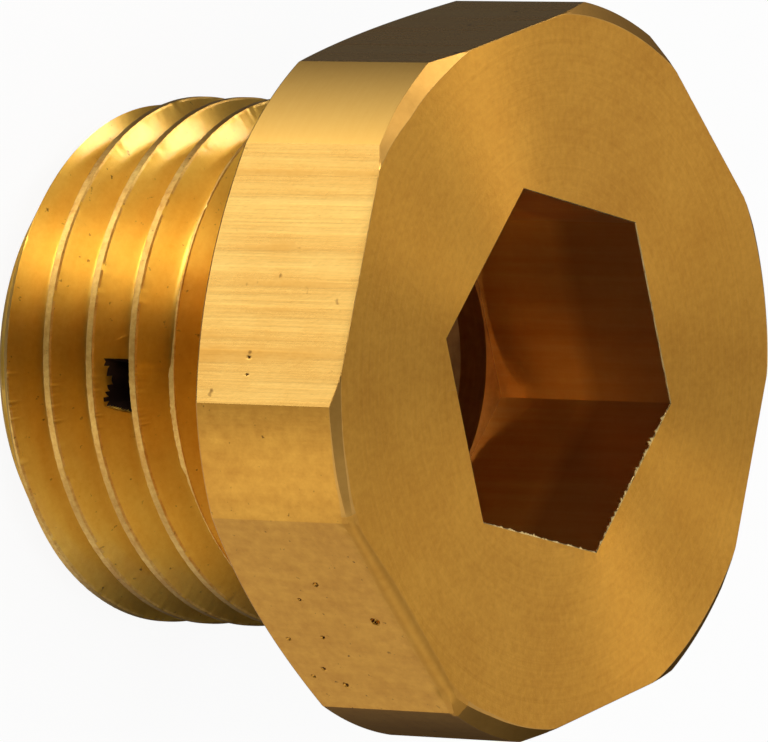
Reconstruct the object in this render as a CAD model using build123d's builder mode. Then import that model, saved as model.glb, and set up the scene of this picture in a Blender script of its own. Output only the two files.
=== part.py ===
from build123d import *
import os
from math import ceil, radians, tan

# Hex socket plug: a pipe plug turned from hexagon bar in one piece of brass. It stands on the
# end of its shank, with the origin at the centre of that end and +Z along the axis to the head.
# The head's flats face +Y and -Y, and every 60 degrees on from there.

# Head
head_height = 4.6
head_across_flats = 17.0
head_turned_diameter = 18.2         # the six corners are turned down to this
front_chamfer_width = 0.36          # measured along the radius, on the corners
front_chamfer_angle = 34.0          # from the front face
back_chamfer_width = 0.70
back_chamfer_angle = 30.0           # from the seat face

# Socket for a hexagon key
socket_key = 8.0
socket_clearance = 0.2              # across flats, over the key
socket_depth = 5.2
socket_turn = -24.0                 # from the head's hexagon
pilot_step = 0.1                    # the pilot drill's radius stays this far inside the flats
pilot_chip_room = 0.8               # full drill diameter below the end of the hexagon
pilot_point_angle = 118.0

# Shank with a parallel pipe thread, G 1/4
shank_length = 8.6
thread_diameter = 13.157
thread_pitch = 1.337
thread_angle = 55.0
thread_crest_flat = 0.21
thread_root_flat = 0.22             # chord across the round root
thread_offset = 1.11                # height of the groove's centre line where it crosses +X
lead_chamfer = 1.15                 # 45 degrees, on the shank's end

# Undercut between the thread and the head
undercut_width = 2.26               # from the seat face to the last crest
undercut_diameter = 11.2
undercut_wall_angle = 30.0          # of its wall on the thread's side, from a square shoulder
undercut_fillet = 0.3               # where the neck meets the seat face

# Recess sunk between two crests
recess_length = 1.2                 # around the shank
recess_width = 0.76                 # along the shank
recess_corner = 0.2
recess_depth = 1.1                  # below the root of the thread
recess_angle = 173.7                # around the axis from +X
recess_turn = 3                     # the groove's turn that it lies in, from thread_offset

# Making allowances, none of them left on the finished plug
tool_rim = 0.1                      # the thread cutter stands this far out of the crests
tool_overrun = 1.0                  # other cutters run this far past the stock
head_root = 1.0                     # how far the shank runs up into the head

# Levels and radii that follow
seat_level = shank_length
face_level = seat_level + head_height
turned_radius = head_turned_diameter / 2
thread_radius = thread_diameter / 2
undercut_radius = undercut_diameter / 2
undercut_level = seat_level - undercut_width
undercut_wall_rise = (thread_radius - undercut_radius) * tan(radians(undercut_wall_angle))
undercut_overrun_drop = tool_overrun * tan(radians(undercut_wall_angle))
front_chamfer_drop = front_chamfer_width * tan(radians(front_chamfer_angle))
back_chamfer_rise = back_chamfer_width * tan(radians(back_chamfer_angle))
socket_across_flats = socket_key + socket_clearance
pilot_radius = socket_across_flats / 2 - pilot_step
pilot_level = face_level - socket_depth - pilot_chip_room
pilot_tip_level = pilot_level - pilot_radius / tan(radians(pilot_point_angle / 2))

# Thread form: straight flanks from flat crests down to a narrow flat root
half_angle = radians(thread_angle / 2)
groove_half_mouth = (thread_pitch - thread_crest_flat) / 2
groove_half_root = thread_root_flat / 2
thread_depth = (groove_half_mouth - groove_half_root) / tan(half_angle)


def groove_height(angle, turn):
    """Height of the groove's centre line at an angle around the axis, on a turn of the thread."""
    return thread_offset + thread_pitch * (turn + angle / 360)


# One groove, long enough to run out of the shank's end and into the undercut
first_turn = -ceil((thread_offset + thread_pitch) / thread_pitch)
last_turn = ceil((undercut_level + undercut_wall_rise - thread_offset) / thread_pitch)
helix_foot = groove_height(0, first_turn)
helix_height = thread_pitch * (last_turn - first_turn)
rim_half_mouth = groove_half_mouth + tool_rim * tan(half_angle)

with BuildPart() as thread_groove:
    with BuildLine():
        Helix(thread_pitch, helix_height, thread_radius, center=(0, 0, helix_foot))
    with BuildSketch(Plane(origin=(thread_radius, 0, helix_foot), x_dir=(1, 0, 0), z_dir=(0, -1, 0))):
        with BuildLine():
            Polyline(
                (-thread_depth, groove_half_root),
                (tool_rim, rim_half_mouth),
                (tool_rim, -rim_half_mouth),
                (-thread_depth, -groove_half_root),
                (-thread_depth, groove_half_root),
            )
        make_face()
    sweep(is_frenet=True)

with BuildPart() as shank:
    # Screw-cut stock that runs up into the head
    Cylinder(thread_radius, seat_level + head_root, align=(Align.CENTER, Align.CENTER, Align.MIN))
    add(thread_groove.part, mode=Mode.SUBTRACT)

    # Lead chamfer, turned off the end
    with BuildSketch(Plane.XZ):
        with BuildLine():
            Polyline(
                (thread_radius - lead_chamfer - tool_overrun, -tool_overrun),
                (thread_radius + tool_overrun, lead_chamfer + tool_overrun),
                (thread_radius + tool_overrun, -tool_overrun),
                (thread_radius - lead_chamfer - tool_overrun, -tool_overrun),
            )
        make_face()
    revolve(axis=Axis.Z, mode=Mode.SUBTRACT)

    # Undercut up to the seat face
    with BuildSketch(Plane.XZ):
        with BuildLine():
            Polyline(
                (thread_radius + tool_overrun, undercut_level - undercut_overrun_drop),
                (undercut_radius, undercut_level + undercut_wall_rise),
                (undercut_radius, seat_level),
                (thread_radius + tool_overrun, seat_level),
                (thread_radius + tool_overrun, undercut_level - undercut_overrun_drop),
            )
        make_face()
        neck_corners = vertices().filter_by_position(Axis.X, undercut_radius, undercut_radius)
        fillet(neck_corners.sort_by(Axis.Z)[-1], undercut_fillet)
    revolve(axis=Axis.Z, mode=Mode.SUBTRACT)

with BuildPart() as plug:
    # Head, turned and then cut back to the bar's six flats
    with BuildSketch(Plane.XZ):
        with BuildLine():
            Polyline(
                (0, seat_level),
                (turned_radius - back_chamfer_width, seat_level),
                (turned_radius, seat_level + back_chamfer_rise),
                (turned_radius, face_level - front_chamfer_drop),
                (turned_radius - front_chamfer_width, face_level),
                (0, face_level),
                (0, seat_level),
            )
        make_face()
    revolve(axis=Axis.Z)
    with BuildSketch(Plane.XY.offset(seat_level)):
        RegularPolygon(head_across_flats / 2, 6, major_radius=False)
    extrude(amount=head_height, mode=Mode.INTERSECT)

    add(shank.part)

    # Pilot hole with its drill point, then the hexagon broached into it
    with BuildSketch(Plane.XZ):
        with BuildLine():
            Polyline(
                (0, face_level),
                (pilot_radius, face_level),
                (pilot_radius, pilot_level),
                (0, pilot_tip_level),
                (0, face_level),
            )
        make_face()
    revolve(axis=Axis.Z, mode=Mode.SUBTRACT)
    with BuildSketch(Plane.XY.offset(face_level)):
        RegularPolygon(socket_across_flats / 2, 6, major_radius=False, rotation=socket_turn)
    extrude(amount=-socket_depth, mode=Mode.SUBTRACT)

    # Small recess in the groove, between two crests
    recess_level = groove_height(recess_angle, recess_turn - 1)
    recess_plane = Plane.YZ.rotated((0, 0, recess_angle)).offset(thread_radius)
    with BuildSketch(recess_plane):
        with Locations((0, recess_level)):
            RectangleRounded(recess_length, recess_width, recess_corner)
    extrude(amount=-(thread_depth + recess_depth), mode=Mode.SUBTRACT)

plug.part.label = "plug"
plug.part.color = Color(0.75, 0.55, 0.20)

os.makedirs("parts", exist_ok=True)
export_step(plug.part, "parts/plug.step")
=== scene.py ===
from math import atan2, cos, degrees, pi, radians, sin, sqrt, tan
import bmesh
import bpy
from mathutils import Matrix, Vector, noise


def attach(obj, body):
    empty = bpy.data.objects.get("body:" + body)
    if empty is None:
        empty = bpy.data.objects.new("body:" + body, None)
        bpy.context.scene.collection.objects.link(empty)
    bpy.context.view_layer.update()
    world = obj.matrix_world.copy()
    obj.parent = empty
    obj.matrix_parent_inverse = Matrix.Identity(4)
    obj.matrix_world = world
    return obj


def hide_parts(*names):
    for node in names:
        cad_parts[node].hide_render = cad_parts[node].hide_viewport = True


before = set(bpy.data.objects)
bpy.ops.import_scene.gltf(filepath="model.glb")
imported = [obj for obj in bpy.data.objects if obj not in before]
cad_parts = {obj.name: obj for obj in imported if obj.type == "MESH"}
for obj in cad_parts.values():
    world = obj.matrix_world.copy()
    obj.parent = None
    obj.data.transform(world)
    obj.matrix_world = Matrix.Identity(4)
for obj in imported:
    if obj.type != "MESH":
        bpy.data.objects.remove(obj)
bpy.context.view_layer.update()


# ---------------------------------------------------------------------------
# Camera
# A long lens a little above the plug's shoulder, rolled until the axis lies
# across the frame with the shank to the left.
# ---------------------------------------------------------------------------
MM = 0.001                      # sizes are given in millimetres, and the scene is in metres
camera_right = (0.58748, -0.13010, 0.79871)
camera_up = (0.25008, 0.96787, -0.02629)
camera_forward = (0.76963, -0.21518, -0.60114)
camera_place = (-215.3627, 60.0782, 176.0080)
lens_length = 531.22
sensor_width = 36.0
nearest_seen, farthest_seen = 0.01, 20.0        # metres

camera_data = bpy.data.cameras.new("camera")
camera_data.sensor_fit = "HORIZONTAL"
camera_data.sensor_width = sensor_width
camera_data.lens = lens_length
camera_data.clip_start = nearest_seen
camera_data.clip_end = farthest_seen
camera = bpy.data.objects.new("camera", camera_data)
bpy.context.collection.objects.link(camera)
camera_back = [-step for step in camera_forward]
axes = [Vector((*axis, 0.0)) for axis in (camera_right, camera_up, camera_back)]
axes.append(Vector([step * MM for step in camera_place] + [1.0]))
camera.matrix_world = Matrix(axes).transposed()
bpy.context.scene.camera = camera


# ---------------------------------------------------------------------------
# Plug body
# One piece of free-cutting brass, turned from hexagon bar: drawn flats, turned
# corners and face, a screw-cut pipe thread and a broached hexagon socket.
# ---------------------------------------------------------------------------

# Head: sizes in millimetres, angles in degrees round the axis
seat_level = 8.6
face_level = 13.2
across_flats = 17.0
turned_radius = 9.1
first_flat = 30.0               # angle of a flat's middle
flat_half_angle = 20.9174       # from there to the turned corner
corner_half_angle = 9.08        # half of a turned corner
front_chamfer_slope = tan(radians(34.0))
back_chamfer_width = 0.70
back_chamfer_slope = tan(radians(30.0))
# angle, width along the radius: the tool ran a little out of true
front_chamfer_width = (
    (0.0, 0.30), (60.0, 0.36), (108.0, 0.40), (120.0, 0.34), (130.0, 0.20), (150.0, 0.20),
    (170.0, 0.25), (180.0, 0.21), (190.0, 0.12), (210.0, 0.12), (229.0, 0.28), (240.0, 0.36),
    (300.0, 0.32), (360.0, 0.30),
)
# angle, radius of the worn edge between the side and the face
edge_softening = (
    (0.0, 0.02), (172.0, 0.02), (184.0, 0.08), (192.0, 0.22), (205.0, 0.30), (222.0, 0.28),
    (236.0, 0.08), (250.0, 0.02), (360.0, 0.02),
)
worn_stretch = (170.9, 249.1)   # one flat and the corners beside it, dulled by handling
rubbed_stretch = (188.0, 232.0)     # and that flat's front edge

# Socket
socket_half = 4.1
socket_turn = -24.0
socket_floor = 8.0
pilot_radius = 4.0
pilot_level = 7.2
pilot_tip = 4.797
mouth_break = 0.025
mouth_depth = 0.15              # how far down the burred mouth reaches
# angle, how far the broach's burr stands into the mouth
mouth_burr = (
    (0.0, 0.02), (212.0, 0.02), (222.0, 0.10), (270.0, 0.07), (278.0, 0.16), (330.0, 0.18),
    (338.0, 0.03), (360.0, 0.02),
)

# Small pits in the drawn flats: angle, height, radius, depth
pits = (
    (210.9, 12.20, 0.13, 0.11), (202.8, 11.04, 0.08, 0.06), (215.3, 10.29, 0.06, 0.05),
    (216.0, 9.20, 0.06, 0.05), (226.0, 10.15, 0.08, 0.06), (206.5, 10.26, 0.05, 0.04),
    (222.6, 9.75, 0.06, 0.04), (224.4, 9.30, 0.06, 0.05), (163.8, 10.35, 0.05, 0.012),
    (166.5, 10.39, 0.04, 0.012),
)
pit_surround = 0.2              # the mesh is made finer this far round a pit

# Thread, a G 1/4 with a round root
thread_radius = 6.5785
thread_pitch = 1.337
thread_offset = 1.11            # height of the middle of groove 0 at angle 0
thread_depth = 0.871
flank = tan(radians(27.5))
half_mouth = 0.573              # half of a groove's width at the crests
half_root = 0.11
root_round = 0.184
root_turn = 62.5                # half of the arc round the root, in degrees
lip_inside = 0.008              # the rolled lip at a groove's edge: reach down the flank,
lip_outside = 0.014             # reach on to the crest,
lip_droop = 0.015               # and droop
tear_start = 0.51               # the torn edge begins this far from the groove's middle
slow_tear = 0.008               # how far the edge wanders,
quick_tear = 0.020              # and how far it is torn from one spot to the next
crest_skin = 0.03               # the torn finish reaches this far below the crests
lead_chamfer = 1.15
end_radius = thread_radius - lead_chamfer
grooves = range(-2, 6)

# Undercut and the edge that its tool left on the last crest
neck_radius = 5.6
neck_fillet = 0.3
neck_level = 6.905
neck_lowest = 5.0               # the undercut never reaches below this height
wall_slope = tan(radians(30.0))
last_groove = 3
# angle, how far the last crest's edge strays from the helix, how far the undercut's wall meets
# the crests above it
last_crest_edge = (
    (112.0, 0.08, 0.12), (120.0, 0.06, 0.12), (128.0, 0.10, 0.12), (136.0, 0.03, 0.11),
    (144.0, 0.08, 0.11), (152.0, 0.02, 0.09), (159.0, 0.03, 0.08), (164.0, -0.01, 0.07),
    (168.0, -0.11, 0.05), (176.0, -0.13, 0.03), (187.0, -0.12, 0.03), (191.0, -0.04, 0.03),
    (196.0, 0.00, 0.03), (204.0, 0.02, 0.05), (212.0, 0.05, 0.08), (224.0, 0.03, 0.08),
    (236.0, 0.02, 0.05),
)
edge_fade = 14.0                # degrees over which that edge dies away at both ends
plain_undercut = 6.34

# Recess sunk into the thread between two crests
recess_groove = 2
recess_angle = 171.7
recess_half_length = 0.64
recess_half_width = 0.36
recess_floor = 5.15
recess_arc = 6.0                # radius at which its length is measured
recess_rim = 0.03               # a face is inside where more than this share of the depth is cut


def smooth(low, high, value):
    """0 below low, 1 above high, with a soft rise between them."""
    share = min(1.0, max(0.0, (value - low) / (high - low)))
    return share * share * (3.0 - 2.0 * share)


def off_centre(angle, first, step=60.0):
    """Signed degrees from the nearest of a ring of directions that starts at first."""
    return (angle - first + step / 2) % step - step / 2


def follow(table, angle):
    """Value at an angle, from a table of angles and values."""
    for (a0, v0), (a1, v1) in zip(table, table[1:]):
        if a0 <= angle <= a1:
            return v0 + (v1 - v0) * smooth(a0, a1, angle)


def side_radius(angle):
    """Radius of the head's side: the bar's flats, turned down on the corners."""
    return min(across_flats / 2 / cos(radians(off_centre(angle, first_flat))), turned_radius)


def mouth_radius(angle):
    """Radius of the socket's hexagon."""
    return socket_half / cos(radians(off_centre(angle, socket_turn + 30.0)))


def groove_level(groove, angle):
    """Height of a groove's middle, which climbs one pitch a turn."""
    return thread_offset + thread_pitch * (groove + angle / 360.0)


def from_groove(groove, angle, height):
    """How far a height lies above a groove's middle."""
    return height - thread_offset - thread_pitch * (groove + angle / 360.0)


def undercut_edge(angle):
    """Drift of the last crest's edge, and the level where the undercut's wall meets the crests."""
    first, last = last_crest_edge[0], last_crest_edge[-1]
    if first[0] < angle < last[0]:
        for (a0, d0, w0), (a1, d1, w1) in zip(last_crest_edge, last_crest_edge[1:]):
            if a0 <= angle <= a1:
                share = smooth(a0, a1, angle)
                level = groove_level(last_groove, angle) + half_mouth
                return d0 + (d1 - d0) * share, level + w0 + (w1 - w0) * share
    end = first if angle <= first[0] else last
    near = 1.0 - smooth(0.0, 1.0, abs(angle - end[0]) / edge_fade)
    end_level = groove_level(last_groove, end[0]) + half_mouth
    return end[1] * near, near * (end_level + end[2]) + (1.0 - near) * plain_undercut


# Rows of the mesh across a groove, from its middle: the round root, the flanks, then the lips
foot_reach = root_round * sin(radians(root_turn))
foot_depth = thread_depth - root_round * (1.0 - cos(radians(root_turn)))
root_rows = [root_round * sin(radians(root_turn * share)) for share in (-1.0, -0.5, 0.0, 0.5, 1.0)]
flank_rows = [
    foot_reach + (half_mouth - foot_reach) * share for share in (0.22, 0.47, 0.72, 0.93)
] + [half_mouth + 0.002, half_mouth + lip_outside]
groove_rows = root_rows + flank_rows + [-height for height in flank_rows]


def torn_edge(groove, angle, side):
    """How far the tool tore a groove's edge along the axis. It tore the last crest twice as far."""
    along = (groove + angle / 360.0) * 360.0
    torn = slow_tear * noise.noise(Vector((along * 0.35, side * 9.0, 2.0)))
    coarse = 2.0 if groove == last_groove and side > 0 else 1.0
    return coarse * (torn + quick_tear * noise.noise(Vector((along * 1.3, side * 9.0, 5.0))))


def thread_radius_at(height, angle, drift):
    """Radius of the screw-cut surface, from the groove that is nearest."""
    groove = round((height - thread_offset) / thread_pitch - angle / 360.0)
    away = from_groove(groove, angle, height)
    side = 1 if away > 0 else -1
    away = abs(away)
    if groove == last_groove and side > 0:
        away *= half_mouth / (half_mouth + drift)
    away -= torn_edge(groove, angle, side) * smooth(tear_start, half_mouth, away)
    if away <= foot_reach:
        round_depth = sqrt(max(0.0, root_round ** 2 - away ** 2))
        return thread_radius - thread_depth + root_round - round_depth
    if away >= half_mouth + lip_outside:
        return thread_radius
    if away > half_mouth - lip_inside:
        share = (away - half_mouth + lip_inside) / (lip_inside + lip_outside)
        return thread_radius - lip_droop * (1.0 - share) ** 2
    return thread_radius - foot_depth * (half_mouth - away) / (half_mouth - foot_reach)


def thread_column(angle):
    """Radii and heights up the shank at one angle, from its end to the neck."""
    drift, edge = undercut_edge(angle)
    # rows close beside the end's edge, the lead chamfer and the undercut keep those edges crisp
    heights = [
        0.03, lead_chamfer - 0.03, lead_chamfer, lead_chamfer + 0.04,
        edge - 0.02, edge, edge + 0.02,
    ]
    for groove in grooves:
        middle = groove_level(groove, angle)
        stretch = (half_mouth + drift) / half_mouth if groove == last_groove else 1.0
        for row in groove_rows:
            torn = torn_edge(groove, angle, 1 if row > 0 else -1)
            torn *= smooth(tear_start, half_mouth, abs(row))
            heights.append(middle + (row + torn) * stretch if row > 0 else middle + row - torn)
        heights.append(middle + thread_pitch / 2)
        # where both flanks meet the lead chamfer, and the upper one meets the undercut's wall
        root = end_radius - thread_radius + thread_depth
        ratio = flank / wall_slope
        meetings = (
            (middle + half_root + root * flank) / (1.0 - flank),
            (middle - half_root - root * flank) / (1.0 + flank),
            (middle + half_root + thread_depth * flank + edge * ratio) / (1.0 + ratio),
        )
        heights += [
            height if abs(height - middle) < thread_pitch / 2 else middle for height in meetings
        ]
        if groove == recess_groove:
            # closer rows at the recess, which draw together into the groove's middle beside it
            close = 1.0 - smooth(10.0, 14.0, abs(angle - recess_angle))
            heights += [middle + 0.03 * step * close for step in range(-15, 16)]
    points = []
    for height in sorted(min(neck_level, max(0.0, each)) for each in heights):
        radius = min(
            thread_radius_at(height, angle, drift),
            end_radius + height,
            thread_radius - (height - edge) / wall_slope,
        )
        if height > neck_lowest:
            radius = max(radius, neck_radius)
        points.append((radius, height))
    return points


def recess_share(angle, height):
    """How much of the recess's depth is cut here, from 0 to 1."""
    along = radians(angle - recess_angle) * recess_arc
    across = from_groove(recess_groove, angle, height)
    if abs(along) > 1.2 or abs(across) > 0.8:
        return 0.0
    ragged = 0.08 * noise.noise(Vector((along * 2.2, across * 2.2, 4.0)))
    slant = 0.25 * smooth(0.35, 0.75, along)
    reach = max(abs(along) - recess_half_length, abs(across) - recess_half_width + slant)
    return 1.0 - smooth(-0.09, 0.05, reach + ragged)


edge_steps = 8                  # rows over the front edge
side_rows = 20
socket_rows = 10


def column_points(angle):
    """Section at one angle, from the middle of the shank's end to the middle of the socket."""
    # the shank's end, thread and neck
    points = [("end", 0.0, 0.0)]
    points += [("end", end_radius * share, 0.0) for share in (0.3, 0.6, 0.85)]
    points += [("end", end_radius - 0.03, 0.0)]
    for radius, height in thread_column(angle):
        cut = max(0.0, radius - recess_floor) * recess_share(angle, height)
        points.append(("thread", radius - cut, height))
    fillet_start = seat_level - neck_fillet
    points += [("neck", neck_radius, height) for height in (7.3, 7.8, fillet_start)]
    for step in range(1, 5):
        turn = radians(22.5 * step)
        reach = neck_radius + neck_fillet * (1.0 - cos(turn))
        points.append(("neck", reach, seat_level - neck_fillet * (1.0 - sin(turn))))

    # the seat and its chamfer, with rows close beside the edges
    side = side_radius(angle)
    back = turned_radius - back_chamfer_width
    back_rise = (side - back) * back_chamfer_slope
    inner = neck_radius + neck_fillet
    points += [("seat", inner + (back - inner) * share, seat_level) for share in (0.3, 0.7)]
    points.append(("seat", back - 0.04, seat_level))
    points.append(("back_chamfer", back + 0.02, seat_level + 0.006))
    points.append(("back_chamfer", side - 0.02, seat_level + back_rise - 0.012))
    low = seat_level + back_rise + 0.03

    # the side, then over the front edge: a chamfer, or a rounded edge where it is worn away
    nicked = noise.noise(Vector((angle * 1.1, 6.0, 3.0)))
    nicked += 0.6 * noise.noise(Vector((angle * 3.7, 2.0, 3.0)))
    soften = follow(edge_softening, angle) + 0.03 * max(0.0, nicked - 0.35)
    chamfer = max(0.0, side - turned_radius + follow(front_chamfer_width, angle))
    rim = side - chamfer
    high = face_level - chamfer * front_chamfer_slope
    rounded = 1.0 - smooth(0.0, 0.6 * soften + 0.06, chamfer)
    points += [
        ("side", side, low + (high - soften - low) * row / (side_rows - 1)) for row in range(side_rows)
    ]
    for step in range(1, edge_steps):
        turn = radians(90.0 * step / edge_steps)
        arc = (rim - soften * (1.0 - cos(turn)), face_level - soften * (1.0 - sin(turn)))
        share = (step - 1) / (edge_steps - 2)
        cone = (side - chamfer * share, high + (face_level - high) * share)
        radius = arc[0] * rounded + cone[0] * (1.0 - rounded)
        height = arc[1] * rounded + cone[1] * (1.0 - rounded)
        points.append(("front_chamfer", radius, height))
    points.append(("front_chamfer", rim - soften, face_level))

    # the face and the socket's mouth, with its burr
    mouth = mouth_radius(angle)
    for share in (0.12, 0.3, 0.5, 0.7, 0.88):
        reach = rim - soften + (mouth + mouth_break - rim + soften) * share
        points.append(("face", reach, face_level))
    points.append(("face", mouth + mouth_break, face_level))
    torn = noise.noise(Vector((angle * 1.9, 3.0, 1.0)))
    torn += 0.5 * noise.noise(Vector((angle * 0.6, 8.0, 1.0)))
    lip = follow(mouth_burr, angle) * max(0.0, torn + 0.1)
    lip_level = face_level - 0.3 * mouth_break - 0.15 * lip
    points.append(("mouth", mouth + 0.3 * mouth_break - lip, lip_level))
    points.append(("mouth", mouth - 0.7 * lip, face_level - mouth_break - 0.5 * lip))

    # the socket's wall, its floor and the pilot hole's cone
    drop = face_level - mouth_depth - socket_floor
    for row in range(socket_rows):
        points.append(("socket", mouth, face_level - mouth_depth - drop * row / socket_rows))
    points.append(("socket", mouth, socket_floor))
    points.append(("pilot", pilot_radius, socket_floor))
    points.append(("pilot", pilot_radius, pilot_level))
    for share in (0.75, 0.5, 0.25, 0.08, 0.0):
        points.append(("pilot", pilot_radius * share, pilot_tip + (pilot_level - pilot_tip) * share))
    return points


def band_at(band, angle, radius, height):
    """Band whose finish a face has: some bands change their finish part of the way round."""
    if band == "side":
        if worn_stretch[0] < angle < worn_stretch[1]:
            return "worn_side"
        if abs(off_centre(angle, 0.0)) < corner_half_angle:
            return "turned_side"
    if band == "front_chamfer" and rubbed_stretch[0] < angle < rubbed_stretch[1]:
        return "worn_edge"
    if band == "thread":
        if recess_share(angle, height) > recess_rim:
            return "recess"
        if radius > thread_radius - crest_skin:
            return "crest"
    return band


# Angles of the columns: even steps, closer ones at the recess, and every corner and edge
even_step = 0.8
recess_step = 0.25
recess_start = 165.5
angles = {round(even_step * step, 4) for step in range(round(360.0 / even_step))}
angles |= {round(recess_start + recess_step * step, 4) for step in range(60)}
for corner in range(6):
    angles.add(round((socket_turn + 60.0 * corner) % 360.0, 4))
    for edge in (-flat_half_angle, flat_half_angle):
        angles.add(round((first_flat + 60.0 * corner + edge) % 360.0, 4))
angles = sorted(angles) + [360.0]

bands = (
    "end", "thread", "neck", "seat", "back_chamfer", "side", "front_chamfer", "face", "mouth",
    "socket", "pilot", "worn_side", "turned_side", "recess", "crest", "worn_edge", "pit",
)
body_mesh = bmesh.new()
columns = []
for angle in angles:
    section = column_points(angle)
    x, y = cos(radians(angle)), sin(radians(angle))
    columns.append([
        body_mesh.verts.new((radius * x * MM, radius * y * MM, height * MM))
        for band, radius, height in section
    ])
band_of = [band for band, radius, height in section]
for left, right in zip(columns, columns[1:]):
    for step in range(len(left) - 1):
        face = body_mesh.faces.new((left[step], left[step + 1], right[step + 1], right[step]))
        middle = face.calc_center_median()
        angle = degrees(atan2(middle.y, middle.x)) % 360.0
        radius = sqrt(middle.x ** 2 + middle.y ** 2) / MM
        face.material_index = bands.index(band_at(band_of[step + 1], angle, radius, middle.z / MM))
weld_distance = 2e-8            # metres: joins the seam, the middles and the rows that draw together
bmesh.ops.remove_doubles(body_mesh, verts=body_mesh.verts, dist=weld_distance)

for angle, height, radius, depth in pits:
    way = Vector((cos(radians(angle)), sin(radians(angle)), 0.0))
    middle = (way * side_radius(angle) + Vector((0.0, 0.0, height))) * MM
    near = [
        face for face in body_mesh.faces
        if (face.calc_center_median() - middle).length < (radius + pit_surround) * MM
    ]
    edges = list(dict.fromkeys(edge for face in near for edge in face.edges))
    bmesh.ops.subdivide_edges(body_mesh, edges=edges, cuts=5, use_grid_fill=True)
    flat = radians(first_flat + 60.0 * (angle // 60.0))
    inward = -Vector((cos(flat), sin(flat), 0.0))
    for vert in body_mesh.verts:
        away = (vert.co - middle) / MM
        if away.length < radius * 1.6:
            wander = noise.noise(away * (1.6 / radius) + Vector((angle, 0.0, 0.0)))
            ragged = 0.35 * radius * wander
            sunk = depth * (1.0 - smooth(0.45 * radius, radius, away.length + ragged))
            vert.co += inward * sunk * MM
    for face in body_mesh.faces:
        if (face.calc_center_median() - middle).length < 0.8 * radius * MM:
            face.material_index = bands.index("pit")

# Edges folded by more than this many degrees are shaded sharp. The thread's round root stays soft.
sharp_fold = 18.0
sharp_thread_fold = 34.0
thread_band = bands.index("thread")
bmesh.ops.recalc_face_normals(body_mesh, faces=body_mesh.faces)
for face in body_mesh.faces:
    face.smooth = True
for edge in body_mesh.edges:
    on_thread = all(face.material_index == thread_band for face in edge.link_faces)
    fold = degrees(edge.calc_face_angle(0.0))
    edge.smooth = fold < (sharp_thread_fold if on_thread else sharp_fold)
open_edges = sum(1 for edge in body_mesh.edges if len(edge.link_faces) != 2)
print("plug body faces", len(body_mesh.faces), "open edges", open_edges)
mesh = bpy.data.meshes.new("plug_body")
body_mesh.to_mesh(mesh)
body_mesh.free()
plug_body = bpy.data.objects.new("plug_body", mesh)
bpy.context.collection.objects.link(plug_body)


def colour(code):
    """Linear colour from an sRGB hex code."""
    parts = [int(code[place:place + 2], 16) / 255.0 for place in (1, 3, 5)]
    return tuple(c / 12.92 if c <= 0.04045 else ((c + 0.055) / 1.055) ** 2.4 for c in parts) + (1.0,)


def add(tree, kind, settings=None, links=None):
    """Adds a node, with its settings and what its inputs are linked to."""
    made = tree.nodes.new(kind)
    for name, value in (settings or {}).items():
        if isinstance(name, int) or name in made.inputs:
            made.inputs[name].default_value = value
        else:
            setattr(made, name, value)
    for name, source in (links or {}).items():
        tree.links.new(source, made.inputs[name])
    return made


roughness_spread = 0.02         # pale metal is this much smoother, dull metal this much rougher
patches_per_mm = 0.5            # slow changes of tone, 2 mm across
film_roughness = 0.15
speck_colour = "#6E4A20"
mouth_shade_levels = (10.5, 11.1)     # painted shade darkens the socket's walls above these heights


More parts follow.
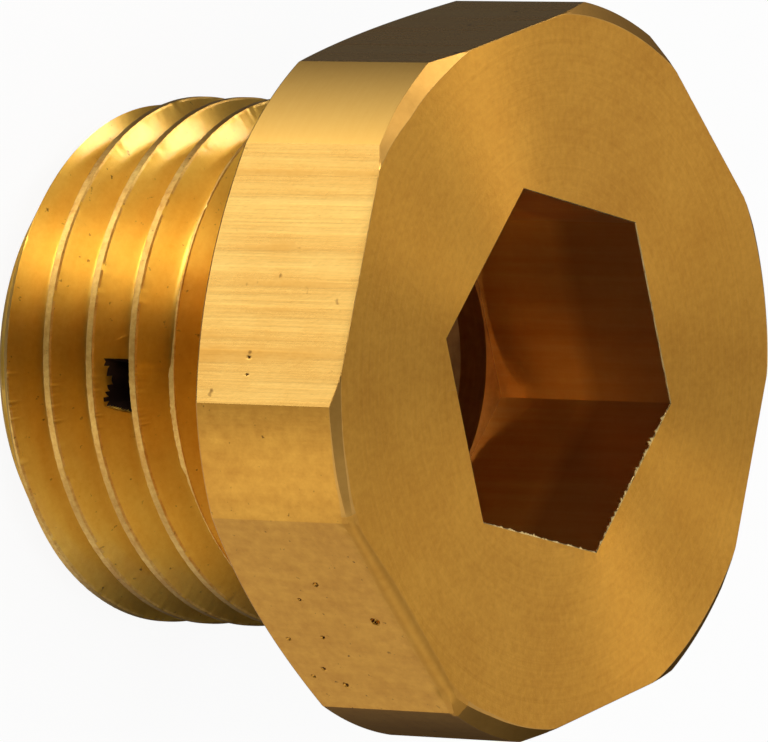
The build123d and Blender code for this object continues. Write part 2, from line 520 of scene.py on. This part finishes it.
def brass(name, pale, dull, roughness, marks, grain, patch_tone=0.9, specks=0.0,
          along=0.0, across=0.0, film=0.0, mouth_shade=None):
    """Bare brass, from pale to dull, with tool marks and a finer grain.

    marks and grain each give marks per millimetre, share in the tone, and depth in micrometres. Three
    numbers per millimetre draw the marks out along an axis, and one makes rings round the plug's axis.
    patch_tone is the share of the slow patches, and specks the dark specks per millimetre. along and
    across give the pull of the marks on a highlight, up the plug or round it, and film the oil on it.
    """
    marks_per_mm, marks_tone, marks_depth = marks
    grain_per_mm, grain_tone, grain_depth = grain
    material = bpy.data.materials.new(name)
    material.use_nodes = True
    tree = material.node_tree
    tree.nodes.clear()
    place = add(tree, "ShaderNodeTexCoord").outputs["Object"]
    in_mm = add(
        tree, "ShaderNodeVectorMath", {"operation": "SCALE", "Scale": 1.0 / MM}, {0: place}
    ).outputs[0]
    if isinstance(marks_per_mm, tuple):
        drawn_out = add(
            tree, "ShaderNodeVectorMath", {"operation": "MULTIPLY", 1: marks_per_mm}, {0: in_mm}
        ).outputs[0]
        lines = add(
            tree, "ShaderNodeTexNoise", {"Scale": 1.0, "Detail": 4.0, "Roughness": 0.66},
            {"Vector": drawn_out},
        ).outputs[0]
    else:
        flat = add(
            tree, "ShaderNodeVectorMath", {"operation": "MULTIPLY", 1: (1.0, 1.0, 0.0)}, {0: in_mm}
        ).outputs[0]
        reach = add(tree, "ShaderNodeVectorMath", {"operation": "LENGTH"}, {0: flat}).outputs["Value"]
        lines = add(
            tree, "ShaderNodeTexNoise",
            {"noise_dimensions": "1D", "Scale": marks_per_mm, "Detail": 4.0, "Roughness": 0.7},
            {"W": reach},
        ).outputs[0]
    fine = add(
        tree, "ShaderNodeTexNoise", {"Scale": grain_per_mm, "Detail": 5.0, "Roughness": 0.7},
        {"Vector": in_mm},
    ).outputs[0]
    patches = add(
        tree, "ShaderNodeTexNoise", {"Scale": patches_per_mm, "Detail": 4.0, "Roughness": 0.6},
        {"Vector": in_mm},
    ).outputs[0]

    # the three patterns add up to a tone that goes from pale, 0, to dull, 1
    middle_tone = 0.5 - 0.5 * (marks_tone + grain_tone + patch_tone)
    tone = add(
        tree, "ShaderNodeMath", {"operation": "MULTIPLY_ADD", 1: marks_tone, 2: middle_tone}, {0: lines}
    ).outputs[0]
    tone = add(
        tree, "ShaderNodeMath", {"operation": "MULTIPLY_ADD", 1: grain_tone}, {0: fine, 2: tone}
    ).outputs[0]
    tone = add(
        tree, "ShaderNodeMath", {"operation": "MULTIPLY_ADD", 1: patch_tone, "use_clamp": True},
        {0: patches, 2: tone},
    ).outputs[0]
    tint = add(
        tree, "ShaderNodeMix", {"data_type": "RGBA", 6: colour(pale), 7: colour(dull)}, {0: tone}
    ).outputs[2]
    # painted shade: above those heights the tint is multiplied by the given colour, darker towards the
    # socket's mouth
    if mouth_shade:
        level = add(tree, "ShaderNodeSeparateXYZ", {}, {0: in_mm}).outputs["Z"]
        near_mouth = add(
            tree, "ShaderNodeMapRange", {"From Min": mouth_shade_levels[0], "From Max": mouth_shade_levels[1]},
            {"Value": level},
        ).outputs[0]
        tint = add(
            tree, "ShaderNodeMix", {"data_type": "RGBA", "blend_type": "MULTIPLY", 7: colour(mouth_shade)},
            {0: near_mouth, 6: tint},
        ).outputs[2]
    if specks:
        spots = add(
            tree, "ShaderNodeTexNoise", {"Scale": specks, "Detail": 2.0, "Roughness": 0.6},
            {"Vector": in_mm},
        ).outputs[0]
        spot = add(
            tree, "ShaderNodeMapRange", {"From Min": 0.69, "From Max": 0.80}, {"Value": spots}
        ).outputs[0]
        tint = add(
            tree, "ShaderNodeMix", {"data_type": "RGBA", 7: colour(speck_colour)}, {0: spot, 6: tint}
        ).outputs[2]
    smoothest, roughest = roughness - roughness_spread, roughness + roughness_spread
    rough = add(
        tree, "ShaderNodeMapRange", {"To Min": smoothest, "To Max": roughest}, {"Value": tone}
    ).outputs[0]
    bump = add(
        tree, "ShaderNodeBump", {"Strength": 1.0, "Distance": marks_depth * 1e-6}, {"Height": lines}
    ).outputs[0]
    bump = add(
        tree, "ShaderNodeBump", {"Strength": 1.0, "Distance": grain_depth * 1e-6},
        {"Height": fine, "Normal": bump},
    ).outputs[0]
    shader = add(
        tree, "ShaderNodeBsdfPrincipled",
        {"Metallic": 1.0, "Anisotropic": max(along, across),
         "Anisotropic Rotation": 0.25 if across else 0.0,
         "Coat Weight": film, "Coat Roughness": film_roughness},
        {"Base Color": tint, "Roughness": rough, "Normal": bump},
    )
    if along or across:
        around = add(tree, "ShaderNodeTangent", {"direction_type": "RADIAL", "axis": "Z"}).outputs[0]
        tree.links.new(around, shader.inputs["Tangent"])
    add(tree, "ShaderNodeOutputMaterial", {}, {"Surface": shader.outputs[0]})
    return material


# The grain of bar brass is about 0.03 mm, too fine to show, so every finish draws it at 0.1 to
# 0.3 mm. Tool marks of a few hundredths of a millimetre are drawn coarser too, as each line says.

# Faced in the lathe. Rings of 0.05 mm feed, drawn at 0.11 mm, spread a highlight into a bow-tie.
turned = brass(
    "turned_brass", "#F6B548", "#DE9936", 0.36,
    marks=(9.0, 0.5, 3.0), grain=(5.0, 1.4, 8.0), across=0.88,
)
# The seat is faced with the same feed but a sharper tool, which leaves it brighter and more even.
seat_turned = brass(
    "faced_brass", "#F4C05C", "#E6AA48", 0.30,
    marks=(9.0, 0.5, 4.0), grain=(5.0, 0.5, 3.0), across=0.5,
)
# The drawing die leaves the bar pale and bright, with lines along it. They are 0.05 mm wide and
# 20 mm long, and are drawn up to 0.5 mm wide.
drawn = brass(
    "drawn_brass", "#F8CA70", "#E2A84E", 0.27,
    marks=((1.9, 1.9, 0.05), 1.8, 7.0), grain=(7.0, 0.4, 2.0), along=0.5, specks=2.1,
)
# Drawn metal dulled by handling: a deeper gold without lines, mottled every 0.4 mm and speckled.
worn = brass(
    "worn_drawn_brass", "#F2B44C", "#D2923A", 0.34,
    marks=((2.5, 2.5, 0.3), 0.8, 4.0), grain=(3.0, 1.4, 4.0), patch_tone=0.6, specks=5.6,
)
# An edge rubbed soft by other parts: matt, even and pale, so that it shows as a faint light line.
worn_edge = brass(
    "rubbed_brass", "#F6BE58", "#E6A646", 0.60,
    marks=((2.5, 2.5, 0.6), 0.4, 2.0), grain=(4.0, 0.8, 3.0),
)
# Corners and seat chamfer, turned with a fine feed: 0.05 mm rings drawn at 0.11 mm give a clean,
# broad shine.
corners = brass(
    "turned_corner_brass", "#F4C466", "#E8B050", 0.31,
    marks=((0.5, 0.5, 9.0), 0.5, 1.5), grain=(5.0, 0.4, 1.0), patch_tone=0.3, across=0.4,
)
# The front chamfer is cut by a broad tool: 0.2 mm rings, a little duller than what is beside it.
front_cut = brass(
    "chamfered_brass", "#ECB45C", "#D09846", 0.38,
    marks=((0.5, 0.5, 5.0), 0.5, 3.0), grain=(5.0, 0.8, 4.0),
)
# Screw-cut with one point and still oily: 0.2 mm streaks run round with the thread under a thin,
# sharper sheen, which gives deep soft gold with bright spots.
cut = brass(
    "screw_cut_brass", "#F8CA56", "#E0A234", 0.38,
    marks=((0.7, 0.7, 5.0), 0.8, 2.0), grain=(6.0, 0.8, 3.0), across=0.85, specks=4.7, film=0.4,
)
# The crests as the tool tore them: pale and grainy, without a direction, so they show as fine lines.
crest = brass(
    "torn_crest_brass", "#F8CC70", "#C88A3A", 0.34,
    marks=((1.5, 1.5, 1.5), 1.0, 5.0), grain=(7.0, 1.5, 8.0), specks=6.0,
)
# The broach's burr is fresh metal and glints at the socket's mouth.
torn_lip = brass(
    "burred_brass", "#FFE2A0", "#F0C878", 0.24,
    marks=((3.0, 3.0, 3.0), 1.0, 6.0), grain=(9.0, 1.0, 8.0),
)
# The broach's teeth score the walls from mouth to floor. The lines are 0.05 mm wide, drawn up to
# 0.5 mm, and warm each reflection between the walls. Painted shade makes the top of the walls greyer.
broached = brass(
    "broached_brass", "#FFE4A0", "#F0C27E", 0.30,
    marks=((2.0, 2.0, 0.10), 2.2, 7.0), grain=(5.0, 0.5, 4.0), along=0.5, mouth_shade="#DCD6DC",
)
# The drill leaves a rough hole with rings 0.17 mm apart. Painted shade: brown, and dim in any light.
shaded_drilled = brass(
    "shaded_drilled_brass", "#B4804A", "#84582F", 0.50,
    marks=((0.8, 0.8, 6.0), 1.0, 6.0), grain=(4.0, 0.8, 4.0),
)
# Painted shade in the recess: a dark, dry brown that takes nearly all the light.
shaded_recess = brass(
    "recess_shade_brass", "#4A362C", "#241A16", 0.60,
    marks=((3.0, 3.0, 3.0), 1.0, 12.0), grain=(8.0, 1.0, 8.0),
)
# The pits hold a stain, which makes each a dark brown dot.
stain = brass(
    "stained_brass", "#70481E", "#3C2410", 0.50,
    marks=((3.0, 3.0, 3.0), 1.0, 6.0), grain=(8.0, 1.0, 6.0),
)
finish = {
    "end": turned, "thread": cut, "neck": cut, "seat": seat_turned, "back_chamfer": corners,
    "side": drawn, "front_chamfer": front_cut, "face": turned, "mouth": torn_lip,
    "socket": broached, "pilot": shaded_drilled, "worn_side": worn, "turned_side": corners,
    "recess": shaded_recess, "crest": crest, "worn_edge": worn_edge, "pit": stain,
}
for band in bands:
    plug_body.data.materials.append(finish[band])

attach(plug_body, "root")
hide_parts("plug")


# ---------------------------------------------------------------------------
# Floor
# A wide sheet of matt white card, not part of the plug. The camera sees it
# nearly white, and the rest of its tone keeps the plug's shadow.
# ---------------------------------------------------------------------------
half_card = 1.5                 # metres
card_level = -2e-5              # a hair below the plug's end
card_whiteness = 0.92
white = (1.0, 1.0, 1.0, 1.0)

floor_mesh = bpy.data.meshes.new("floor")
floor_corners = [
    (x * half_card, y * half_card, card_level) for x, y in ((-1, -1), (1, -1), (1, 1), (-1, 1))
]
floor_mesh.from_pydata(floor_corners, [], [(0, 1, 2, 3)])
floor = bpy.data.objects.new("floor", floor_mesh)
bpy.context.collection.objects.link(floor)
# Plain card, pressed smooth but with no gloss, so that it shows only light and shadow
card = bpy.data.materials.new("matt_white_card")
card.use_nodes = True
tree = card.node_tree
tree.nodes.clear()
matt = add(tree, "ShaderNodeBsdfDiffuse", {"Color": colour("#E6E6E4")}).outputs[0]
glow = add(tree, "ShaderNodeEmission", {"Color": white, "Strength": 1.0}).outputs[0]
seen = add(tree, "ShaderNodeLightPath").outputs["Is Camera Ray"]
lift = add(tree, "ShaderNodeMath", {"operation": "MULTIPLY", 1: card_whiteness}, {0: seen}).outputs[0]
both = add(tree, "ShaderNodeMixShader", {}, {0: lift, 1: matt, 2: glow}).outputs[0]
add(tree, "ShaderNodeOutputMaterial", {}, {"Surface": both})
floor.data.materials.append(card)
floor.visible_glossy = False


# ---------------------------------------------------------------------------
# Studio light
# Soft boxes round the plug, and a white surround that the camera sees.
# ---------------------------------------------------------------------------
def direction(azimuth, elevation):
    """Unit vector away from the plug, from degrees round its axis and above the floor."""
    turn, rise = radians(azimuth), radians(elevation)
    return Vector((cos(rise) * cos(turn), cos(rise) * sin(turn), sin(rise)))


def soft_box(name, azimuth, elevation, distance, side, radiance):
    """A square lamp that faces the plug. Sizes are in millimetres."""
    lamp = bpy.data.lights.new(name, "AREA")
    lamp.shape = "RECTANGLE"
    lamp.size = side * MM
    lamp.size_y = side * MM
    lamp.energy = radiance * pi * lamp.size * lamp.size_y
    holder = bpy.data.objects.new(name, lamp)
    bpy.context.collection.objects.link(holder)
    way = direction(azimuth, elevation)
    holder.location = way * distance * MM
    holder.rotation_euler = way.to_track_quat("Z", "Y").to_euler()
    return holder


# The front box is what the face mirrors, and the small side box gives the bright spots on the
# thread and the bow-tie on the face. The key light lights the floor, casts the plug's shadow on it
# and is never mirrored.
soft_box("front", -15.0, 40.0, 300.0, 150.0, 0.74)
soft_box("side", 37.0, 39.0, 300.0, 60.0, 12.0)
key = soft_box("key", 160.0, 55.0, 400.0, 220.0, 5.0)
key.visible_glossy = False

# What bare metal mirrors of the studio: azimuth, elevation, sharpness and strength of each soft patch
surround = (
    (90.0, -65.0, 14.0, 0.05), (180.0, -65.0, 14.0, 0.45), (270.0, -65.0, 14.0, 0.74),
    (15.6, -37.0, 24.0, 0.08), (75.6, -37.0, 24.0, 0.52), (95.6, -37.0, 24.0, 0.63),
    (115.6, -37.0, 24.0, 2.59), (195.6, -37.0, 24.0, 0.92), (215.6, -37.0, 24.0, 0.39),
    (255.6, -37.0, 24.0, 0.63), (135.0, -8.0, 14.0, 0.11), (180.0, -8.0, 14.0, 0.21),
    (225.0, -8.0, 14.0, 0.31), (0.0, 22.0, 14.0, 0.19), (72.0, 22.0, 14.0, 2.14),
    (108.0, 22.0, 14.0, 0.87), (216.0, 22.0, 14.0, 0.61), (252.0, 22.0, 14.0, 0.77),
    (235.0, 50.0, 14.0, 0.60), (280.0, 50.0, 14.0, 0.15), (270.0, 77.0, 14.0, 0.28),
    (112.0, 22.0, 60.0, 9.00), (112.0, 40.0, 60.0, 6.00),
)
matt_light = 0.5                # the even light that matt surfaces get
world = bpy.data.worlds.new("surround")
bpy.context.scene.world = world
world.use_nodes = True
tree = world.node_tree
tree.nodes.clear()
look = add(tree, "ShaderNodeTexCoord").outputs["Generated"]
total = None
for azimuth, elevation, sharpness, strength in surround:
    way = tuple(direction(azimuth, elevation))
    near = add(
        tree, "ShaderNodeVectorMath", {"operation": "DOT_PRODUCT", 1: way}, {0: look}
    ).outputs["Value"]
    near = add(
        tree, "ShaderNodeMath", {"operation": "MULTIPLY_ADD", 1: sharpness, 2: -sharpness}, {0: near}
    ).outputs[0]
    near = add(tree, "ShaderNodeMath", {"operation": "EXPONENT"}, {0: near}).outputs[0]
    total = add(
        tree, "ShaderNodeMath", {"operation": "MULTIPLY_ADD", 1: strength, 2: 0.0},
        {0: near} if total is None else {0: near, 2: total},
    ).outputs[0]
path = add(tree, "ShaderNodeLightPath")
mirrored = add(tree, "ShaderNodeBackground", {"Color": white}, {"Strength": total}).outputs[0]
ambient = add(tree, "ShaderNodeBackground", {"Color": white, "Strength": matt_light}).outputs[0]
behind = add(tree, "ShaderNodeBackground", {"Color": white, "Strength": 1.0}).outputs[0]
glossy_or_matt = add(
    tree, "ShaderNodeMixShader", {}, {0: path.outputs["Is Glossy Ray"], 1: ambient, 2: mirrored}
).outputs[0]
shown = add(
    tree, "ShaderNodeMixShader", {}, {0: path.outputs["Is Camera Ray"], 1: glossy_or_matt, 2: behind}
).outputs[0]
add(tree, "ShaderNodeOutputWorld", {}, {"Surface": shown})

bpy.context.scene.view_settings.view_transform = "Standard"
